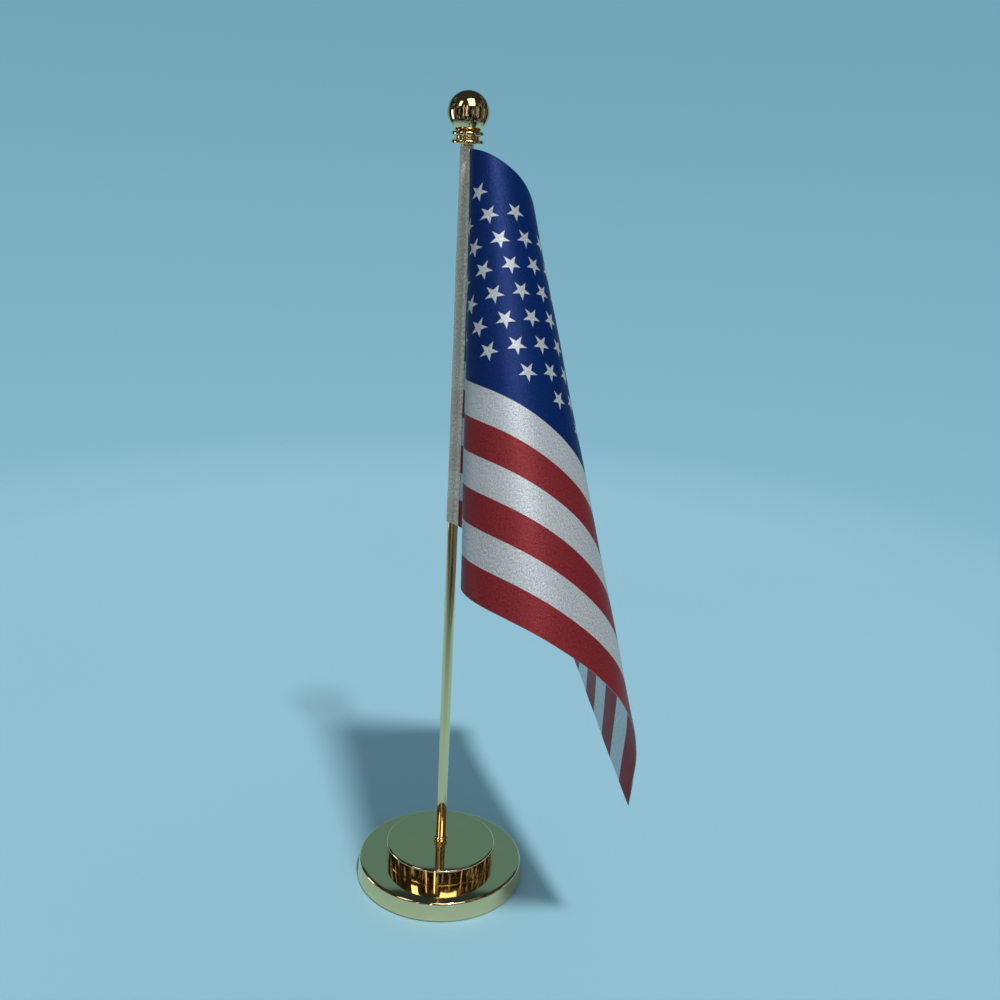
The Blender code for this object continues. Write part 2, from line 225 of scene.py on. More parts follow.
def rounded(corners, steps=8):
    """Outline (r, z) from corners (r, z, fillet), each fillet a true arc."""
    outline = []
    count = len(corners)
    for index, (r, z, fillet) in enumerate(corners):
        corner = np.array([r, z])
        if fillet <= 0.0:
            outline.append((r, z))
            continue
        before = np.array(corners[index - 1][:2]) - corner
        after = np.array(corners[(index + 1) % count][:2]) - corner
        before /= np.linalg.norm(before)
        after /= np.linalg.norm(after)
        half = 0.5 * math.acos(float(np.clip(before @ after, -1.0, 1.0)))
        middle = before + after
        middle /= np.linalg.norm(middle)
        centre = corner + middle * fillet / math.sin(half)
        start = corner + before * fillet / math.tan(half) - centre
        stop = corner + after * fillet / math.tan(half) - centre
        sweep = math.pi - 2 * half
        turn = math.copysign(1.0, start[0] * stop[1] - start[1] * stop[0])
        for step in range(steps + 1):
            angle = turn * sweep * step / steps
            cosine, sine = math.cos(angle), math.sin(angle)
            x = centre[0] + cosine * start[0] - sine * start[1]
            y = centre[1] + sine * start[0] + cosine * start[1]
            outline.append((float(x), float(y)))
    return outline


def arc(centre_r, centre_z, radius, start, stop, steps):
    """Points (r, z) on an arc, in degrees from +r towards +z."""
    angles = [math.radians(start + (stop - start) * step / steps) for step in range(steps + 1)]
    return [(centre_r + radius * math.cos(a), centre_z + radius * math.sin(a)) for a in angles]


def turned(name, outline, made, segments=160, smooth_angle=0.5):
    """Spin a closed (r, z) outline about the pole's axis."""
    bm = bmesh.new()
    verts = [bm.verts.new((r, 0.0, z)) for r, z in outline]
    edges = []
    for index, vert in enumerate(verts):
        after = (index + 1) % len(verts)
        if max(outline[index][0], outline[after][0]) > 0.0:
            edges.append(bm.edges.new((vert, verts[after])))
    bmesh.ops.spin(
        bm,
        geom=verts + edges,
        cent=(0, 0, 0),
        axis=(0, 0, 1),
        angle=2 * math.pi,
        steps=segments,
        use_merge=True,
    )
    bmesh.ops.remove_doubles(bm, verts=bm.verts[:], dist=0.00001 * MM)
    return from_bmesh(bm, name, made, smooth_angle)


def close_rings(bm, rings):
    """Faces between rings of vertices, and a cap at each end."""
    for lower, upper in zip(rings, rings[1:]):
        for corner in range(len(lower)):
            after = (corner + 1) % len(lower)
            bm.faces.new((lower[corner], lower[after], upper[after], upper[corner]))
    bm.faces.new(rings[0])
    bm.faces.new(rings[-1])


def tube(bm, centres, radius, sides=8):
    """Add a closed round tube through the centres to a bmesh."""
    rings = []
    for index, centre in enumerate(centres):
        before = centres[max(index - 1, 0)]
        after = centres[min(index + 1, len(centres) - 1)]
        along = (after - before).normalized()
        side = along.cross(Vector((0.3, 0.5, 0.81))).normalized()
        up = along.cross(side)
        ends = index in (0, len(centres) - 1)
        reach = radius * (0.45 if ends else 1.0)
        ring = []
        for corner in range(sides):
            angle = 2 * math.pi * corner / sides
            spoke = math.cos(angle) * side + math.sin(angle) * up
            ring.append(bm.verts.new(centre + reach * spoke))
        rings.append(ring)
    close_rings(bm, rings)


def place(item, body, slot, *nodes):
    """Ride a piece on its body and hide the CAD nodes that it stands for; slot, the name of its
    finish, is not used.
    """
    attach(item, body)
    if nodes:
        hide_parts(*nodes)
    return item


# --- Material helpers -------------------------------------------------------------------


class Nodes:
    """Adds nodes to a tree and returns their output sockets."""

    def __init__(self, tree):
        self.tree = tree

    def add(self, kind):
        return self.tree.nodes.new(kind)

    def put(self, socket, value):
        """Link a socket to the input, or set the input's own value."""
        if isinstance(value, bpy.types.NodeSocket):
            self.tree.links.new(value, socket)
        else:
            socket.default_value = value

    def math(self, operation, a, b=0.0, c=0.0, clamp=False):
        node = self.add("ShaderNodeMath")
        node.operation = operation
        node.use_clamp = clamp
        for socket, value in zip(node.inputs, (a, b, c)):
            self.put(socket, value)
        return node.outputs[0]

    def step(self, value, edge, width):
        """0 below the edge, 1 above it, soft over the width."""
        return self.math("MULTIPLY_ADD", value, 1.0 / width, 0.5 - edge / width, clamp=True)

    def invert(self, value):
        return self.math("SUBTRACT", 1.0, value)

    def reach(self, x, y):
        """Distance of (x, y) from the origin."""
        square = self.math("ADD", self.math("MULTIPLY", x, x), self.math("MULTIPLY", y, y))
        return self.math("SQRT", square)

    def spread(self, value, low, high):
        """Map 0..1 to low..high."""
        return self.math("MULTIPLY_ADD", value, high - low, low)

    def mix(self, factor, a, b):
        node = self.add("ShaderNodeMix")
        node.data_type = "RGBA"
        self.put(node.inputs[0], factor)
        self.put(node.inputs[6], a)
        self.put(node.inputs[7], b)
        return node.outputs[2]

    def scale(self, colour, factor):
        node = self.add("ShaderNodeVectorMath")
        node.operation = "SCALE"
        self.put(node.inputs[0], colour)
        self.put(node.inputs["Scale"], factor)
        return node.outputs[0]

    def ramp(self, value, stops):
        """Colour ramp through stops of (position, colour)."""
        node = self.add("ShaderNodeValToRGB")
        self.put(node.inputs[0], value)
        elements = node.color_ramp.elements
        elements[0].position, elements[0].color = stops[0]
        elements[1].position, elements[1].color = stops[-1]
        for position, colour in stops[1:-1]:
            elements.new(position).color = colour
        return node.outputs[0]

    def combine(self, x, y, z):
        node = self.add("ShaderNodeCombineXYZ")
        for socket, value in zip(node.inputs, (x, y, z)):
            self.put(socket, value)
        return node.outputs[0]

    def separate(self, vector):
        node = self.add("ShaderNodeSeparateXYZ")
        self.put(node.inputs[0], vector)
        return node.outputs[0], node.outputs[1], node.outputs[2]

    def noise(self, vector, scale, detail=2.0, roughness=0.5):
        node = self.add("ShaderNodeTexNoise")
        self.put(node.inputs["Vector"], vector)
        node.inputs["Scale"].default_value = scale
        node.inputs["Detail"].default_value = detail
        node.inputs["Roughness"].default_value = roughness
        return node.outputs["Fac"]


class Graph(Nodes):
    """A new material, with the nodes that feed its Principled shader."""

    def __init__(self, name):
        self.material = bpy.data.materials.new(name)
        self.material.use_nodes = True
        super().__init__(self.material.node_tree)
        self.shader = self.tree.nodes["Principled BSDF"]

    def place(self):
        """Object coordinates, which are metres in the CAD's frame."""
        return self.add("ShaderNodeTexCoord").outputs["Object"]

    def attribute(self, name):
        node = self.add("ShaderNodeAttribute")
        node.attribute_name = name
        return node.outputs["Vector"]

    def bump(self, height, distance, strength=1.0, normal=None):
        node = self.add("ShaderNodeBump")
        node.inputs["Strength"].default_value = strength
        node.inputs["Distance"].default_value = distance
        self.put(node.inputs["Height"], height)
        if normal is not None:
            self.put(node.inputs["Normal"], normal)
        return node.outputs["Normal"]

    def set(self, **values):
        """Feed the shader's inputs, named with _ for a space, and return the material."""
        for name, value in values.items():
            self.put(self.shader.inputs[name.replace("_", " ")], value)
        return self.material


def gold(name, turning=0.0, drawn=0.0):
    """Polished gold plate: smudges, dust, and faint turned rings or drawn lines."""
    graph = Graph(name)
    where = graph.place()
    x, y, z = graph.separate(where)
    smudge = graph.noise(where, 90.0, 3.0, 0.6)
    speck = graph.noise(where, 2400.0, 1.0)
    tint = graph.mix(smudge, GOLD_DARK, GOLD_LIGHT)
    dust = graph.step(speck, 0.72, 0.08)
    rough = graph.math("MULTIPLY_ADD", dust, 0.05, graph.spread(smudge, 0.02, 0.085))
    rings = graph.noise(graph.combine(graph.reach(x, y), 0.0, z), 5200.0, 1.0)
    lines = graph.noise(graph.combine(x, y, graph.math("MULTIPLY", z, 0.01)), 6500.0, 1.0)
    normal = graph.bump(rings, 0.002 * MM, turning)
    normal = graph.bump(lines, 0.002 * MM, drawn, normal)
    return graph.set(Base_Color=tint, Metallic=1.0, Roughness=rough, Normal=normal)


def zinc(name):
    """Zinc-plated steel with a fine grain."""
    graph = Graph(name)
    where = graph.place()
    cloud = graph.noise(where, 700.0, 3.0)
    tint = graph.mix(cloud, (0.50, 0.52, 0.54, 1.0), (0.72, 0.72, 0.68, 1.0))
    grain = graph.noise(where, 9000.0, 2.0)
    rough = graph.spread(cloud, 0.25, 0.45)
    normal = graph.bump(grain, 0.01 * MM, 0.4)
    return graph.set(Base_Color=tint, Metallic=1.0, Roughness=rough, Normal=normal)


def cast_iron(name):
    """Rough grey casting of the weight."""
    graph = Graph(name)
    where = graph.place()
    lumps = graph.noise(where, 900.0, 4.0, 0.7)
    tint = graph.mix(lumps, (0.035, 0.034, 0.033, 1.0), (0.11, 0.10, 0.095, 1.0))
    rough = graph.spread(lumps, 0.55, 0.8)
    normal = graph.bump(lumps, 0.15 * MM, 0.8)
    return graph.set(Base_Color=tint, Metallic=0.9, Roughness=rough, Normal=normal)


def foam(name):
    """Black closed-cell foam of the foot pad."""
    graph = Graph(name)
    where = graph.place()
    cells = graph.add("ShaderNodeTexVoronoi")
    graph.put(cells.inputs["Vector"], where)
    cells.inputs["Scale"].default_value = 2600.0
    cloud = graph.noise(where, 160.0, 3.0)
    tint = graph.mix(cloud, (0.012, 0.012, 0.013, 1.0), (0.035, 0.035, 0.037, 1.0))
    rough = graph.spread(cloud, 0.82, 0.97)
    normal = graph.bump(cells.outputs["Distance"], 0.06 * MM, 0.7)
    return graph.set(Base_Color=tint, Roughness=rough, Normal=normal)


def from_nearest(graph, value, first, pitch):
    """Offset of a value from the nearest of first, first + pitch and so on."""
    shifted = graph.math("ADD", value, pitch / 2 - first)
    return graph.math("SUBTRACT", graph.math("FLOORED_MODULO", shifted, pitch), pitch / 2)


def star_lattice(graph, fly, down, first_fly, first_down, columns, rows):
    """1 inside the stars of a lattice with a star at every other pitch, 0 outside."""
    wide = 2 * STAR_PITCH_FLY
    tall = 2 * STAR_PITCH_DOWN
    across = from_nearest(graph, fly, first_fly, wide)
    along = from_nearest(graph, down, first_down, tall)
    angle = graph.math("ARCTAN2", across, graph.math("MULTIPLY", along, -1.0))
    fifth = 2 * math.pi / 5
    folded = graph.math("FLOORED_MODULO", graph.math("ADD", angle, fifth / 2), fifth)
    folded = graph.math("ABSOLUTE", graph.math("SUBTRACT", folded, fifth / 2))
    depth = graph.math("COSINE", graph.math("SUBTRACT", folded, fifth))
    depth = graph.math("MULTIPLY", depth, graph.reach(across, along))
    edge = STAR_RADIUS * math.cos(fifth)
    inside = graph.invert(graph.step(depth, edge, 0.1 * MM))
    low_fly = first_fly - STAR_PITCH_FLY
    low_down = first_down - STAR_PITCH_DOWN
    for value, low, high in (
        (fly, low_fly, low_fly + columns * wide),
        (down, low_down, low_down + rows * tall),
    ):
        inside = graph.math("MULTIPLY", inside, graph.math("GREATER_THAN", value, low))
        inside = graph.math("MULTIPLY", inside, graph.math("LESS_THAN", value, high))
    return inside


def flag_print(graph, fly, down):
    """Printed colour at a place of the flat cloth."""
    wave = graph.math("SINE", graph.math("MULTIPLY", down, math.pi / STRIPE))
    red = graph.math("MULTIPLY_ADD", wave, STRIPE / (math.pi * PRINT_BLUR), 0.5, clamp=True)
    colour = graph.mix(red, WHITE_CLOTH, RED_INK)
    above = graph.invert(graph.step(down, CANTON_DOWN, PRINT_BLUR))
    before = graph.invert(graph.step(fly, CANTON_FLY, PRINT_BLUR))
    colour = graph.mix(graph.math("MULTIPLY", above, before), colour, BLUE_INK)
    odd = star_lattice(graph, fly, down, FIRST_STAR_FLY, FIRST_STAR_DOWN, 6, 5)
    even_fly = FIRST_STAR_FLY + STAR_PITCH_FLY
    even_down = FIRST_STAR_DOWN + STAR_PITCH_DOWN
    even = star_lattice(graph, fly, down, even_fly, even_down, 5, 4)
    return graph.mix(graph.math("MAXIMUM", odd, even), colour, WHITE_CLOTH)


def satin_surface(graph, fly, down, colour, rough_low, rough_high, lustre):
    """Weave, slubs, grain and sheen of satin over a colour given on the flat cloth."""
    slanted = graph.math("MULTIPLY_ADD", fly, 0.35, down)
    threads = graph.combine(fly, graph.math("MULTIPLY", slanted, 0.45), 0.0)
    grain = graph.noise(threads, GRAIN_SCALE, 2.0, 0.75)
    drawn = graph.combine(graph.math("MULTIPLY", fly, 0.12), down, 0.0)
    slub = graph.noise(drawn, GRAIN_SCALE, 2.0)
    cloud = graph.noise(graph.combine(fly, down, 0.0), 55.0, 3.0)
    warp = graph.math("SINE", graph.math("MULTIPLY", fly, 2 * math.pi / WARP_PITCH))
    weft = graph.math("SINE", graph.math("MULTIPLY", down, 2 * math.pi / WEFT_PITCH))
    weave = graph.math("MULTIPLY_ADD", weft, 0.4, warp)
    shade = graph.math("MULTIPLY_ADD", grain, 1.90, -0.04)
    shade = graph.math("MULTIPLY_ADD", cloud, 0.18, shade)
    rough = graph.spread(grain, rough_low, rough_high)
    normal = graph.bump(weave, 0.012 * MM, 0.25)
    normal = graph.bump(grain, 0.16 * MM, 0.8, normal)
    normal = graph.bump(slub, 0.04 * MM, 0.35, normal)
    graph.set(Base_Color=graph.scale(colour, shade), Roughness=rough, Normal=normal)
    graph.shader.inputs["Metallic"].default_value = lustre
    graph.shader.inputs["Specular IOR Level"].default_value = SATIN_SPECULAR
    return graph.material


def flag_satin(name):
    """Printed satin, laid out by the cloth's flat places, with painted light on the inner side.
    """
    graph = Graph(name)
    fly, down, side = graph.separate(graph.attribute("flat"))
    # Painted light: the inner side's colour is brightened for the light that comes through the
    # cloth
    painted_light = graph.spread(side, 1.0, INNER_PAINTED_LIGHT)
    colour = graph.scale(flag_print(graph, fly, down), painted_light)
    return satin_surface(graph, fly, down, colour, 0.30, 0.50, SATIN_LUSTRE)


def sleeve_satin(name):
    """White satin, faintly tinted where the print is turned in behind it."""
    graph = Graph(name)
    x, y, z = graph.separate(graph.place())
    down = graph.math("SUBTRACT", HOIST_TOP, z)
    around = graph.math("MULTIPLY", graph.math("ARCTAN2", y, x), SLEEVE_RADIUS)
    wave = graph.math("SINE", graph.math("MULTIPLY", down, math.pi / STRIPE))
    band = graph.math("MULTIPLY_ADD", wave, 2.0, 0.5, clamp=True)
    below = graph.step(down, CANTON_DOWN, 1.0 * MM)
    tint = graph.math("MULTIPLY", graph.math("MULTIPLY", band, below), 0.35)
    above = graph.math("MULTIPLY", graph.invert(below), 0.30)
    colour = graph.mix(tint, SLEEVE_CLOTH, SLEEVE_OVER_RED)
    colour = graph.mix(above, colour, SLEEVE_OVER_BLUE)
    return satin_surface(graph, around, down, colour, 0.42, 0.62, 0.0)


def thread_material(name):
    """Twisted sewing thread."""
    graph = Graph(name)
    where = graph.place()
    twist = graph.noise(where, 5200.0, 2.0)
    tint = graph.mix(twist, (0.62, 0.60, 0.55, 1.0), (0.80, 0.78, 0.73, 1.0))
    normal = graph.bump(twist, 0.03 * MM, 0.6)
    return graph.set(Base_Color=tint, Roughness=0.6, Normal=normal)


# --- Base -------------------------------------------------------------------------------


def build_base():
    """Two hollow gold discs, and the foam pad under them."""
    wall = SHELL_WALL
    low = DISC_LOW.z
    foot = DISC_HIGH.x
    rim = foot - DISC_LEAN
    corners = [
        (foot, low, 0.3 * MM),
        (rim, DISC_TOP, DISC_FILLET),
        (THREAD_BORE, DISC_TOP, 0.0),
        (THREAD_BORE, DISC_TOP - wall, 0.0),
        (rim - wall, DISC_TOP - wall, 0.6 * MM),
        (foot - wall, low, 0.2 * MM),
    ]
    disc = turned("base_disc", rounded(corners, 10), gold("disc_gold", 0.35), 224)
    place(disc, "base", "gold_plate", "base_lower_disc")

    radius = DRUM_HIGH.x
    low = DISC_TOP + HAIRLINE
    corners = [
        (radius, low, 0.22 * MM),
        (radius, DRUM_TOP, DRUM_FILLET),
        (THREAD_BORE, DRUM_TOP, 0.1 * MM),
        (THREAD_BORE, DRUM_TOP - wall, 0.0),
        (radius - wall, DRUM_TOP - wall, 0.5 * MM),
        (radius - wall, low, 0.1 * MM),
    ]
    drum = turned("base_drum", rounded(corners, 10), gold("drum_gold", 0.35), 200)
    place(drum, "base", "gold_plate", "base_upper_disc")

    corners = [
        (0.0, PAD_LOW.z, 0.0),
        (PAD_HIGH.x, PAD_LOW.z, 0.15 * MM),
        (PAD_HIGH.x, PAD_HIGH.z, 0.15 * MM),
        (0.0, PAD_HIGH.z, 0.0),
    ]
    pad = turned("foot_pad", rounded(corners, 4), foam("pad_foam"), 160)
    place(pad, "base", "foot_pad", "base_foot_pad")


def repaint_cad_nodes():
    """CAD nodes whose shape is right get their finished materials."""
    finishes = {
        "base_weight": cast_iron("weight_iron"),
        "base_screw": zinc("screw_zinc"),
        "base_spring_washer": zinc("spring_washer_zinc"),
        "base_washer": zinc("washer_zinc"),
        "base_coupling_nut": zinc("nut_zinc"),
        "finial_bush": zinc("bush_zinc"),
    }
    for name, made in finishes.items():
        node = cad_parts[name]
        node.data.materials.clear()
        node.data.materials.append(made)


# --- Pole and finial --------------------------------------------------------------------


def threaded_end(name, low, high, body, made):
    """M3 thread: a screw surface with rounded crests, closed at both ends."""
    around = 48
    per_turn = 10
    levels = int((high - low) / THREAD_PITCH * per_turn)
    bm = bmesh.new()
    rings = []
    for level in range(levels + 1):
        z = low + (high - low) * level / levels
        ring = []
        for corner in range(around):
            angle = 2 * math.pi * corner / around
            phase = (z / THREAD_PITCH - corner / around) % 1.0
            groove = 0.5 - 0.5 * math.cos(2 * math.pi * phase)
            reach = THREAD_RADIUS - THREAD_DEPTH * groove
            ring.append(bm.verts.new((reach * math.cos(angle), reach * math.sin(angle), z)))
        rings.append(ring)
    close_rings(bm, rings)
    item = from_bmesh(bm, name, made, 1.2)
    return place(item, body, "gold_plate")


def build_pole():
    """Plain rod with a thread at either end, and the stepped ring round its foot."""
    low = DRUM_TOP + HAIRLINE
    corners = [
        (0.0, low, 0.0),
        (POLE_RADIUS, low, 0.1 * MM),
        (POLE_RADIUS, POLE_SHOULDER, 0.2 * MM),
        (0.0, POLE_SHOULDER, 0.0),
    ]
    rod = turned("pole", rounded(corners, 5), gold("pole_gold", 0.0, 0.5), 96)
    place(rod, "pole", "gold_plate", "pole_rod")
    thread_gold = gold("thread_gold")
    threaded_end("pole_lower_thread", POLE_LOW.z, low, "pole", thread_gold)
    threaded_end("pole_upper_thread", POLE_SHOULDER, POLE_HIGH.z, "pole", thread_gold)

    inner = POLE_RADIUS + HAIRLINE
    outer = COLLAR_HIGH.x
    high = COLLAR_HIGH.z
    groove = low + 0.45 * (high - low)
    step = low + 0.75 * (high - low)
    corners = [
        (inner, low, 0.0),
        (outer - 0.3 * MM, low, 0.1 * MM),
        (outer - 0.3 * MM, groove, 0.08 * MM),
        (outer, groove, 0.12 * MM),
        (outer, step, 0.25 * MM),
        (inner + 0.2 * MM, high, 0.2 * MM),
        (inner, high, 0.0),
    ]
    collar = turned("pole_collar", rounded(corners, 6), gold("collar_gold"), 96)
    place(collar, "pole", "gold_plate", "pole_foot_collar")


def build_finial():
    """Ball on a ferrule with two full beads and a hollowed waist between them."""
    centre = BALL_CENTRE
    seat = -math.degrees(math.acos(SEAT_RADIUS / BALL_RADIUS))
    inside = BALL_RADIUS - FINIAL_WALL
    floor = centre + BALL_RADIUS * math.sin(math.radians(seat)) + FINIAL_WALL
    inner = math.degrees(math.asin((floor - centre) / inside))
    outline = [(FINIAL_BORE, floor - FINIAL_WALL)]
    outline += arc(0.0, centre, BALL_RADIUS, seat, 89.6, 80)
    outline.append((0.0, centre + BALL_RADIUS))
    outline.append((0.0, centre + inside))
    outline += arc(0.0, centre, inside, 89.0, inner, 40)
    outline.append((FINIAL_BORE, floor))
    ball = turned("finial_sphere", outline, gold("ball_gold"), 160)
    place(ball, "finial", "gold_plate", "finial_ball")

    low = FERRULE_LOW.z
    high = floor - FINIAL_WALL - HAIRLINE
    socket = POLE_RADIUS + 0.3 * MM
    shoulder = POLE_SHOULDER + 0.3 * MM
    bead = FERRULE_HIGH.x - BEAD_HALF
    lower_bead = low + LOWER_BEAD
    upper_bead = low + UPPER_BEAD
    waist = WAIST_RADIUS + WAIST_HALF
    outline = [(socket, low), (3.8 * MM, low)]
    outline += arc(bead, lower_bead, BEAD_HALF, -80, 80, 14)
    outline += arc(waist, (lower_bead + upper_bead) / 2, WAIST_HALF, 215, 145, 10)
    outline += arc(bead, upper_bead, BEAD_HALF, -80, 88, 14)
    outline += [(SEAT_RADIUS - 0.1 * MM, high), (FINIAL_BORE, high)]
    outline += [(FINIAL_BORE, shoulder), (socket, shoulder)]
    ferrule = turned("finial_neck", outline, gold("ferrule_gold"), 160, 0.6)
    place(ferrule, "finial", "gold_plate", "finial_ferrule")


# --- Flag -------------------------------------------------------------------------------


def rotated(vector, axis, angle):
    """Rotate a vector about a unit axis."""
    side = np.cross(axis, vector)
    along = axis * (axis @ vector) * (1 - math.cos(angle))
    return vector * math.cos(angle) + side * math.sin(angle) + along


def fan_directions():
    """Angles of the fan of rulings and the space direction of the ruling at each angle."""
    last = math.atan2(FLY - FAN_FLY, -FAN_DOWN) + FAN_MARGIN
    angles = np.linspace(FIRST_RULING, last, FAN_STEPS)
    shares = np.linspace(0.0, 1.0, len(BEND_RATES)) ** RATE_CROWDING
    rates = np.interp(angles, FIRST_RULING + (last - FIRST_RULING) * shares, BEND_RATES)
    along = np.array([math.sin(HOIST_TURN), -math.cos(HOIST_TURN), 0.0])
    down = np.array([0.0, 0.0, -1.0])
    ruling = math.sin(FIRST_RULING) * along + math.cos(FIRST_RULING) * down
    across = math.cos(FIRST_RULING) * along - math.sin(FIRST_RULING) * down
    normal = np.cross(ruling, across)
    step = angles[1] - angles[0]
    directions = [ruling]
    for index in range(FAN_STEPS - 1):
        rate = 0.5 * (rates[index] + rates[index + 1])
        axis = (rate * ruling + normal) / math.hypot(rate, 1.0)
        turn = math.hypot(rate, 1.0) * step
        ruling = rotated(ruling, axis, turn)
        across = rotated(across, axis, turn)
        normal = rotated(normal, axis, turn)
        directions.append(ruling)
    return angles, np.array(directions), along, down


FAN = fan_directions()


def fold_line(down):
    """How far along the fly the first bend lies, at a depth below the hoist's top."""
    return FAN_FLY + math.tan(FIRST_RULING) * (down - FAN_DOWN)


def cloth_points(fly, down):
    """Places in space of points of the flat cloth, as arrays."""
    angles, directions, along, downward = FAN
    top = np.array([HOIST_X, HOIST_Y, HOIST_TOP])
    centre = top + FAN_FLY * along + FAN_DOWN * downward
    reach = np.hypot(fly - FAN_FLY, down - FAN_DOWN)
    angle = np.arctan2(fly - FAN_FLY, down - FAN_DOWN)
    curved = np.stack([np.interp(angle, angles, directions[:, k]) for k in range(3)], -1)
    flat = np.sin(angle)[..., None] * along + np.cos(angle)[..., None] * downward
    direction = np.where((angle <= angles[0])[..., None], flat, curved)
    points = centre + reach[..., None] * direction
    share = fly / fold_line(down)
    before = np.minimum(share, 1.0)
    bulge = HOIST_BULGE * 6.75 * before * (1 - before) ** 2
    tuck = FOLD_TUCK * np.exp(-(((share - 1) / TUCK_WIDTH) ** 2))
    points[..., 0] += (down / HOIST) * (bulge - tuck)
    return points


def grid_normals(points):
    """Unit normals of a grid of points."""
    along = np.gradient(points, axis=1)
    down = np.gradient(points, axis=0)
    normals = np.cross(along, down)
    return normals / np.linalg.norm(normals, axis=-1, keepdims=True)


def cloth_grid():
    """Flat places of the grid, closer together round the first bend."""
    columns = COLUMNS_BEFORE_FOLD + COLUMNS_AFTER_FOLD + 1
    down = np.repeat(np.linspace(0.0, HOIST, ROWS + 1)[:, None], columns, 1)
    bend = fold_line(down[:, :1])
    shares = np.linspace(0.0, 1.0, COLUMNS_BEFORE_FOLD, endpoint=False)[None, :]
    before = bend * shares
    shares = np.linspace(0.0, 1.0, COLUMNS_AFTER_FOLD + 1)[None, :]
    after = bend + (FLY - bend) * shares**1.35
    return np.concatenate([before, after], axis=1), down


def small_waves(fly, down):
    """Height above the smooth fold: puckers at the seam and soft waves at the cut edges."""

    def wave(height, edge, fade, along, length, phase=0.0):
        """Height, fade and length in millimetres; it dies away from the edge."""
        shape = np.sin(2 * np.pi * along / (length * MM) + phase)
        return height * MM * np.exp(-edge / (fade * MM)) * shape

    pucker = wave(0.10, fly, 4, down, 4.8, 0.4)
    bottom = wave(0.08, HOIST - down, 7, fly, 19, 1.0)
    end = wave(0.07, FLY - fly, 8, down, 23, 2.0)
    top = wave(0.08, down, 6, fly, 16)
    broad = 0.10 * MM * np.sin(2 * np.pi * (fly + 0.3 * down) / (47 * MM))
    return pucker + bottom + end + top + broad * np.clip(fly / (40 * MM), 0, 1)


def build_cloth(made):
    """Closed sheet round the fold; "flat" holds fly, down and 1 on the inner side."""
    fly, down = cloth_grid()
    smooth = cloth_points(fly, down)
    normals = grid_normals(smooth)
    middle = smooth + normals * small_waves(fly, down)[..., None]
    normals = grid_normals(middle)
    rows, columns = fly.shape
    half = CLOTH_THICKNESS / 2
    sheets = []
    for side in (1.0, -1.0):
        sheets.append((middle + side * half * normals).reshape(-1, 3))
    points = np.concatenate(sheets)
    count = rows * columns
    index = np.arange(count).reshape(rows, columns)
    quads = [index[:-1, :-1], index[1:, :-1], index[1:, 1:], index[:-1, 1:]]
    quads = np.stack(quads, -1).reshape(-1, 4)
    rim = np.concatenate([index[0, :-1], index[:-1, -1], index[-1, :0:-1], index[:0:-1, 0]])
    after = np.roll(rim, -1)
    edge = np.stack([rim, after, after + count, rim + count], -1)
    faces = np.concatenate([quads[:, ::-1], quads + count, edge])
    mesh = bpy.data.meshes.new("flag")
    mesh.from_pydata(points.tolist(), [], faces.tolist())
    flat = np.zeros((2 * count, 3), np.float32)
    flat[:, 0] = np.tile(fly.ravel(), 2)
    flat[:, 1] = np.tile(down.ravel(), 2)
    flat[:count, 2] = 1.0
    layer = mesh.attributes.new("flat", "FLOAT_VECTOR", "POINT")
    layer.data.foreach_set("vector", flat.ravel())
    bm = bmesh.new()
    bm.from_mesh(mesh)
    bmesh.ops.recalc_face_normals(bm, faces=bm.faces[:])
    bm.to_mesh(mesh)
    bm.free()
    item = new_object("flag", mesh, made, 1.2)
    return place(item, "flag", "satin", "flag_cloth")


def build_sleeve(made):
    """Snug fabric tube, softly uneven, cut a little slanting at its lower end."""
    around = 72
    levels = 150
    top = SLEEVE_HIGH.z
    bm = bmesh.new()
    skins = []
    for skin in (0.0, SLEEVE_THICKNESS):
        rings = []
        for level in range(levels + 1):
            share = level / levels
            ring = []
            for corner in range(around):
                angle = 2 * math.pi * corner / around
                cut = SLEEVE_LOW.z + SLEEVE_SLANT - SLEEVE_SLANT * math.cos(angle - 0.4)
                z = cut + (top - cut) * share
                ripple = 0.035 * math.sin(z / (3.1 * MM) + 2.0 * angle)
                ripple += 0.03 * math.sin(z / (7.3 * MM) - 3.0 * angle + 1.0)
                ripple += 0.03 * math.cos(2 * angle + z / (21 * MM))
                radius = SLEEVE_RADIUS - 0.5 * SLEEVE_THICKNESS + skin + ripple * MM
                radius = max(radius, POLE_RADIUS + 0.04 * MM + skin)
                x, y = radius * math.cos(angle), radius * math.sin(angle)
                ring.append(bm.verts.new((x, y, z)))
            rings.append(ring)
        skins.append(rings)
    inner, outer = skins
    for corner in range(around):
        after = (corner + 1) % around
        for lower, upper in zip(outer, outer[1:]):
            bm.faces.new((lower[corner], lower[after], upper[after], upper[corner]))
        for lower, upper in zip(inner, inner[1:]):
            bm.faces.new((lower[after], lower[corner], upper[corner], upper[after]))
        bm.faces.new((inner[0][corner], inner[0][after], outer[0][after], outer[0][corner]))
        bm.faces.new((outer[-1][corner], outer[-1][after], inner[-1][after], inner[-1][corner]))
    item = from_bmesh(bm, "sleeve", made, 1.2)
    return place(item, "sleeve", "sleeve_satin", "flag_sleeve")


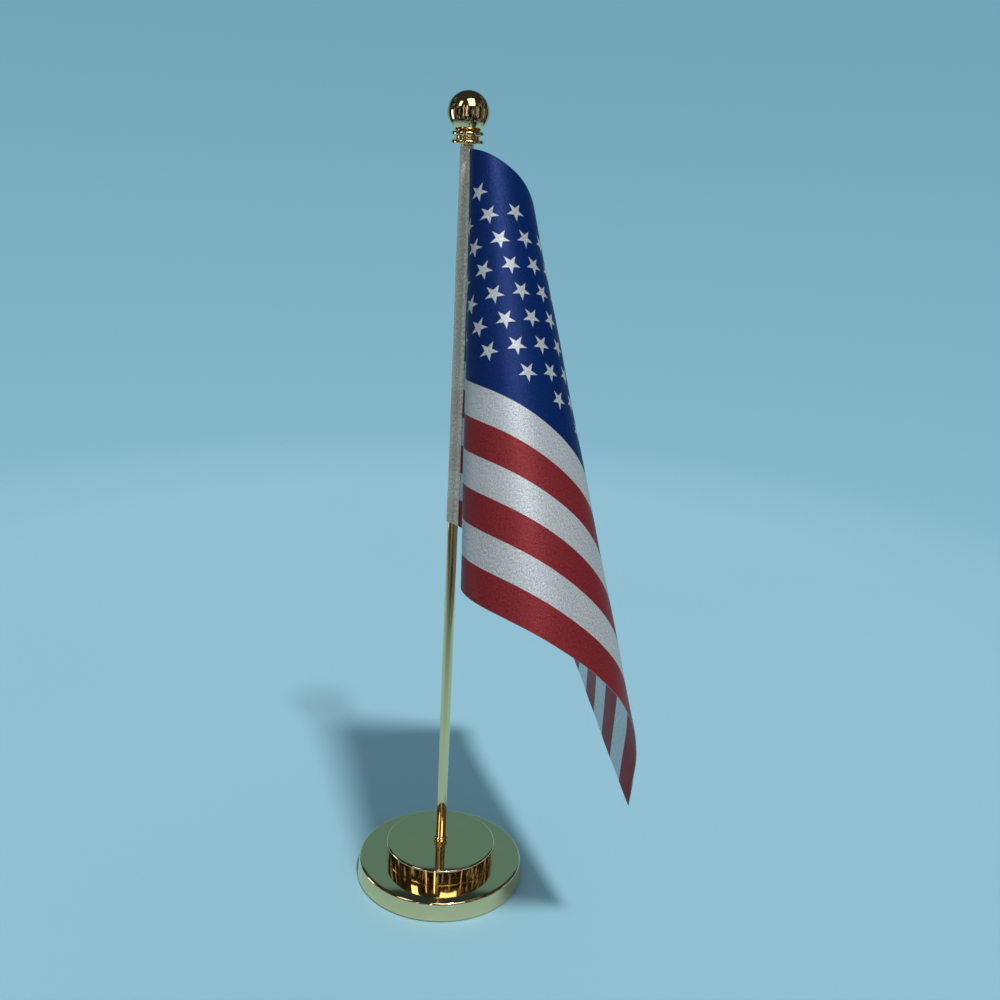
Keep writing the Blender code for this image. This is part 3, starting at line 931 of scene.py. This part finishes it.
def build_flange(made, side, name):
    """One of the two sleeve edges that hold the cloth between them, from the tube outwards."""
    levels = 150
    steps = 8
    near = CLOTH_THICKNESS / 2 + 0.03 * MM
    far = near + SLEEVE_THICKNESS
    root_angle = math.atan2(HOIST_Y, HOIST_X) + side * FLANGE_SPREAD
    root_reach = SLEEVE_RADIUS + 0.12 * MM
    outward = np.array([math.cos(root_angle), math.sin(root_angle), 0.0])
    bm = bmesh.new()
    rings = []
    for level in range(levels + 1):
        down = (HOIST - 0.1 * MM) * level / levels
        stations = np.linspace(0.0, FLANGE_REACH, steps)
        base = cloth_points(stations, np.full(steps, down))
        ahead = cloth_points(stations + 0.1 * MM, np.full(steps, down))
        heading = ahead - base
        heading /= np.linalg.norm(heading, axis=1, keepdims=True)
        across = np.cross(heading, np.array([0.0, 0.0, 1.0]))
        wobble = 0.05 * MM * math.sin(down / (2.9 * MM))
        wobble += 0.04 * MM * math.sin(down / (5.3 * MM) + side)
        root = root_reach * outward
        root[2] = HOIST_TOP - down
        inner = [root] + [base[k] + across[k] * side * near for k in range(steps)]
        outer = [root + outward * SLEEVE_THICKNESS * 0.8]
        for k in range(steps):
            swell = far + wobble * (k / steps)
            outer.append(base[k] + across[k] * side * swell)
        rings.append([bm.verts.new(point) for point in inner + outer[::-1]])
    close_rings(bm, rings)
    item = from_bmesh(bm, name, made, 0.9)
    return place(item, "flag", "sleeve_satin")


def build_stitches(made, side, name, node):
    """One face of the lock stitch: a short bowed stitch at every pitch along the seam."""
    bm = bmesh.new()
    count = int((HOIST - 3 * MM) / STITCH_PITCH)
    above = CLOTH_THICKNESS / 2 + SLEEVE_THICKNESS + 0.06 * MM
    for index in range(count):
        start = 1.6 * MM + index * STITCH_PITCH
        centres = []
        for step in range(7):
            share = step / 6
            down = start + STITCH_LENGTH * share
            here = cloth_points(np.array([SEAM_INSET]), np.array([down]))[0]
            ahead = cloth_points(np.array([SEAM_INSET + 0.1 * MM]), np.array([down]))[0]
            across = np.cross(ahead - here, np.array([0.0, 0.0, 1.0]))
            across /= np.linalg.norm(across)
            bow = above - 0.22 * MM + 0.24 * MM * math.sin(math.pi * share) ** 0.5
            centres.append(Vector(here + across * side * bow))
        tube(bm, centres, STITCH_RADIUS)
    item = from_bmesh(bm, name, made, 1.2)
    return place(item, "flag", "thread", node)


def build_flag():
    """Cloth, sleeve and their seam."""
    cloth = build_cloth(flag_satin("flag_satin"))
    sleeve_made = sleeve_satin("sleeve_satin")
    sleeve = build_sleeve(sleeve_made)
    front = build_flange(sleeve_made, 1.0, "sleeve_front_edge")
    back = build_flange(sleeve_made, -1.0, "sleeve_back_edge")
    thread = thread_material("seam_thread")
    needle = build_stitches(thread, 1.0, "seam_front_stitches", "seam_needle_thread")
    bobbin = build_stitches(thread, -1.0, "seam_back_stitches", "seam_bobbin_thread")


# --- Stage ------------------------------------------------------------------------------


def build_floor():
    """Pale matt floor, which fades at its edge into the backdrop's colour."""
    graph = Graph("floor")
    where = graph.place()
    x, y, _ = graph.separate(where)
    cloud = graph.noise(where, 3.0, 2.0)
    grain = graph.noise(where, 900.0, 2.0)
    tint = graph.mix(cloud, FLOOR_DARK, FLOOR_LIGHT)
    edge = FLOOR_RADIUS - FLOOR_FADE
    fade = graph.invert(graph.step(graph.reach(x, y), edge, 2 * FLOOR_FADE))
    normal = graph.bump(grain, 0.02 * MM, 0.3)
    made = graph.set(Base_Color=tint, Roughness=0.7, Alpha=fade, Normal=normal)
    graph.shader.inputs["Specular IOR Level"].default_value = 0.15
    bm = bmesh.new()
    bmesh.ops.create_circle(bm, cap_ends=True, segments=128, radius=FLOOR_RADIUS)
    floor = from_bmesh(bm, "floor", made)
    floor.location = (0.0, FLOOR_CENTRE, PAD_LOW.z)


def aimed(item, direction, distance):
    """Put a light in a direction from the middle of the object, shining back at it."""
    aim = Vector(direction).normalized()
    item.location = Vector(LIGHT_TARGET) + aim * distance
    item.rotation_mode = "QUATERNION"
    item.rotation_quaternion = aim.to_track_quat("Z", "Y")


def window(name, direction, distance, width, height, glow, colour):
    """Rectangle of an even glow, which only shows as a reflection in what shines."""
    data = bpy.data.lights.new(name, "AREA")
    data.shape = "RECTANGLE"
    data.size = width
    data.size_y = height
    data.energy = glow * math.pi * width * height
    data.color = colour
    item = bpy.data.objects.new(name, data)
    bpy.context.scene.collection.objects.link(item)
    aimed(item, direction, distance)
    item.visible_camera = False
    item.visible_diffuse = False


def build_lights():
    """A key from the front and above; the windows only give the metal things to mirror."""
    data = bpy.data.lights.new("key", "SUN")
    data.energy = KEY_STRENGTH
    data.angle = KEY_ANGLE
    data.color = KEY_LIGHT
    item = bpy.data.objects.new("key", data)
    bpy.context.scene.collection.objects.link(item)
    aimed(item, KEY_DIRECTION, 2.0)
    window("skylight", (0.20, -0.52, 0.82), 1.6, 0.85, 1.10, 2.2, PALE_LIGHT)
    window("window_upper_left", (-0.60, -0.42, 0.68), 1.6, 0.34, 0.60, 2.6, PALE_LIGHT)
    window("window_left", (-0.97, 0.16, -0.04), 1.6, 0.36, 0.85, 2.4, PALE_LIGHT)
    window("strip_left", (-0.46, -0.87, 0.18), 1.7, 0.06, 1.70, 1.2, ROSY_LIGHT)
    window("strip_front", (-0.17, -0.96, 0.18), 1.7, 0.07, 1.70, 2.2, PALE_LIGHT)
    window("strip_right", (0.72, -0.68, 0.18), 1.7, 0.05, 1.50, 0.8, ROSY_LIGHT)
    window("curtain_right", (0.98, 0.10, 0.08), 1.7, 0.34, 1.10, 0.16, ROSY_LIGHT)
    window("backdrop_card", (0.0, 0.60, 0.10), 0.75, 1.40, 0.62, 0.24, CARD_LIGHT)


def build_room(nodes, x, y, height, depth):
    """What the metal mirrors: a dark room in front, paler floor and backdrop behind."""
    behind = nodes.ramp(height, BEHIND)
    streaks = nodes.noise(nodes.combine(x, y, 0.0), 7.0, 3.0, 0.7)
    curtain = nodes.ramp(streaks, CURTAIN)
    ceiling = nodes.ramp(height, [(0.76, BLACK), (0.88, WHITE)])
    overhead = nodes.ramp(height, OVERHEAD)
    room = nodes.mix(ceiling, curtain, overhead)
    turn = nodes.ramp(depth, [(0.78, BLACK), (0.88, WHITE)])
    return nodes.mix(turn, room, behind)


def build_world():
    """Pale backdrop for the camera, even light for matt surfaces, a room for reflections."""
    world = bpy.data.worlds.new("studio")
    bpy.context.scene.world = world
    bpy.context.scene.view_settings.view_transform = "Standard"
    world.use_nodes = True
    nodes = Nodes(world.node_tree)
    x, y, z = nodes.separate(nodes.add("ShaderNodeTexCoord").outputs["Generated"])
    height = nodes.math("MULTIPLY_ADD", z, 0.5, 0.5)
    depth = nodes.math("MULTIPLY_ADD", y, 0.5, 0.5)
    room = build_room(nodes, x, y, height, depth)
    backdrop = nodes.ramp(height, [(0.28, BACKDROP_LOW), (0.56, BACKDROP_HIGH)])
    fill = nodes.ramp(height, [(0.0, FILL_LOW), (1.0, FILL_HIGH)])
    path = nodes.add("ShaderNodeLightPath")
    light = nodes.mix(path.outputs["Is Diffuse Ray"], room, fill)
    light = nodes.mix(path.outputs["Is Camera Ray"], light, backdrop)
    background = nodes.tree.nodes["Background"]
    nodes.put(background.inputs["Color"], light)
    background.inputs["Strength"].default_value = 1.0


def build_camera():
    """Seen from the front, a little above, the pole leaning slightly in the frame."""
    level = Vector((math.sin(CAMERA_YAW), math.cos(CAMERA_YAW), 0.0))
    forward = level * math.cos(CAMERA_PITCH) - Vector((0, 0, 1)) * math.sin(CAMERA_PITCH)
    right = Vector((math.cos(CAMERA_YAW), -math.sin(CAMERA_YAW), 0.0))
    up = right.cross(forward)
    turned_right = right * math.cos(CAMERA_ROLL) + up * math.sin(CAMERA_ROLL)
    turned_up = up * math.cos(CAMERA_ROLL) - right * math.sin(CAMERA_ROLL)
    data = bpy.data.cameras.new("camera")
    data.sensor_width = 36.0
    data.lens = CAMERA_LENS
    data.clip_start = 0.01
    data.clip_end = 50.0
    item = bpy.data.objects.new("camera", data)
    bpy.context.scene.collection.objects.link(item)
    axes = Matrix((turned_right, turned_up, -forward)).transposed().to_4x4()
    item.matrix_world = Matrix.Translation(CAMERA_PLACE) @ axes
    bpy.context.scene.camera = item


def main():
    build_camera()
    build_base()
    repaint_cad_nodes()
    build_pole()
    build_finial()
    build_flag()
    build_floor()
    build_lights()
    build_world()


main()
